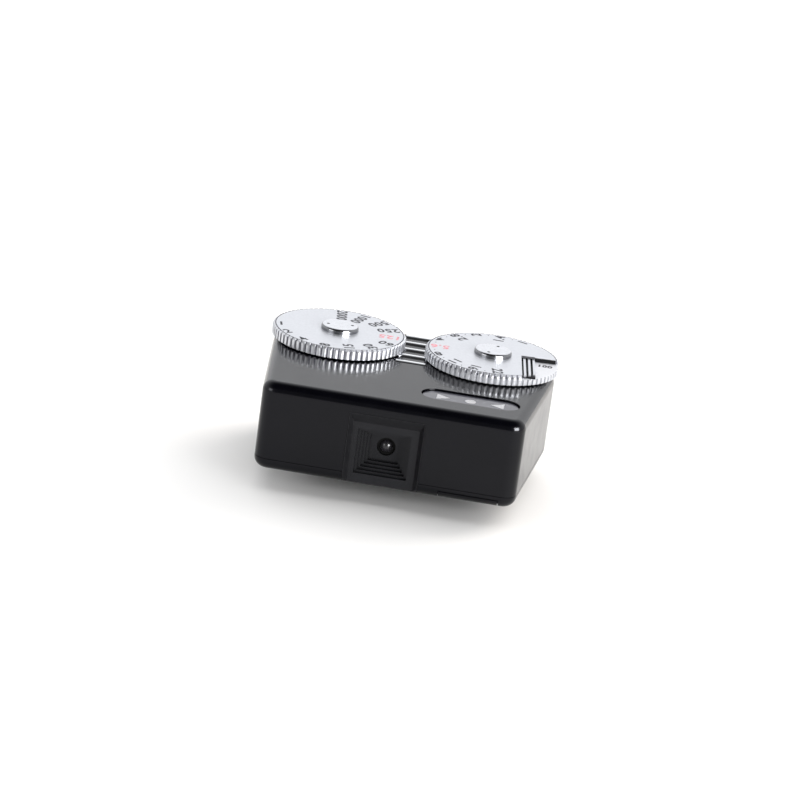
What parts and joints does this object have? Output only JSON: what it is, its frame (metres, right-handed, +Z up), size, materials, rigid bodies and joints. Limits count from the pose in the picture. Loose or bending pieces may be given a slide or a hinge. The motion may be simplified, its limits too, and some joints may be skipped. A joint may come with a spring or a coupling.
{
  "type": "shoe-mount exposure meter",
  "caption": "Small black exposure meter for a camera's accessory shoe, with two knurled dials, lamp window, ribbed metering button and stepped light-cell window.",
  "frame": {"origin": "centre of the shoe foot's lower face", "axes": "+X to the right seen from the front, along the row of dials; +Y towards the rear; +Z up out of the dials"},
  "size_m": [0.0452, 0.0368, 0.0198],
  "materials": {
    "housing": "satin black moulded housing",
    "frame": "matt black",
    "lens": "polished dark glass",
    "chip": "black",
    "board": "green laminate",
    "window": "smoked clear pane",
    "mask": "black",
    "steel": "plain steel",
    "dial": "satin chrome, knurled rim",
    "disc": "satin chrome, knurled rim",
    "nut": "polished",
    "key": "satin black",
    "button": "polished",
    "cell": "nickel-plated can",
    "brass": "plain",
    "foot": "black anodised",
    "lamp": "clear lamp",
    "washer": "black"
  },
  "bodies": {
    "root": {"upper_housing": "housing", "bottom_cover": "housing", "light_cell_frame": "frame", "lens_ring": "frame", "light_cell_lens": "lens", "photodiode": "chip", "sensor_board": "board", "sensor_header": "chip", "indicator_window": "window", "indicator_mask": "mask", "light_baffle": "mask", "circuit_board": "board", "meter_chip": "chip", "board_components": "chip", "tact_switch": "chip", "click_balls": "steel", "click_springs": "steel", "button_spring": "steel", "battery_holder": "mask", "button_cell_front": "cell", "button_cell_rear": "cell", "cell_contacts": "brass", "door_hinge_pin": "steel", "shoe_foot_plate": "foot", "shoe_foot_neck": "foot", "foot_nut_plate": "foot", "foot_screws": "steel", "case_screws": "steel", "board_screws": "steel", "led_left": "lamp", "led_centre": "lamp", "led_right": "lamp", "shutter_bush": "brass", "shutter_washer": "washer", "shutter_switch": "chip", "aperture_bush": "brass", "aperture_washer": "washer", "aperture_switch": "chip"},
    "shutter_dial": {"shutter_dial": "dial", "shutter_dial_nut": "nut", "shutter_shaft": "steel", "shutter_wiper": "brass", "shutter_clip": "steel"},
    "aperture_dial": {"aperture_dial": "dial", "index_strip": "mask", "aperture_dial_nut": "nut", "aperture_shaft": "steel", "aperture_wiper": "brass", "aperture_clip": "steel"},
    "film_speed": {"film_speed_disc": "disc"},
    "button": {"metering_button": "key", "button_ribs": "button"},
    "door": {"battery_door": "housing", "door_contact": "brass"}
  },
  "joints": [
    {"name": "shutter_dial_turn", "type": "hinge", "parent": "root", "child": "shutter_dial", "pos_m": [-0.0086, 0.0061, 0.0175], "axis": [0, 0, 1], "range_deg": [-96, 168]},
    {"name": "aperture_dial_turn", "type": "hinge", "parent": "root", "child": "aperture_dial", "pos_m": [0.0156, 0.0061, 0.0175], "axis": [0, 0, 1], "range_deg": [-96, 120]},
    {"name": "film_speed_turn", "type": "hinge", "parent": "aperture_dial", "child": "film_speed", "pos_m": [0.0156, 0.0061, 0.0175], "axis": [0, 0, 1], "range_deg": [-120, 0]},
    {"name": "metering_button_press", "type": "slide", "parent": "root", "child": "button", "axis": [0, 0, -1], "range_m": [0, 0.0006], "stiffness_N_per_m": 400, "springref_m": -0.0005, "deforming": ["button_spring"]},
    {"name": "battery_door_hinge", "type": "hinge", "parent": "root", "child": "door", "pos_m": [0.0159, 0.007, 0.0044], "axis": [1, 0, 0], "range_deg": [0, 100]}
  ]
}
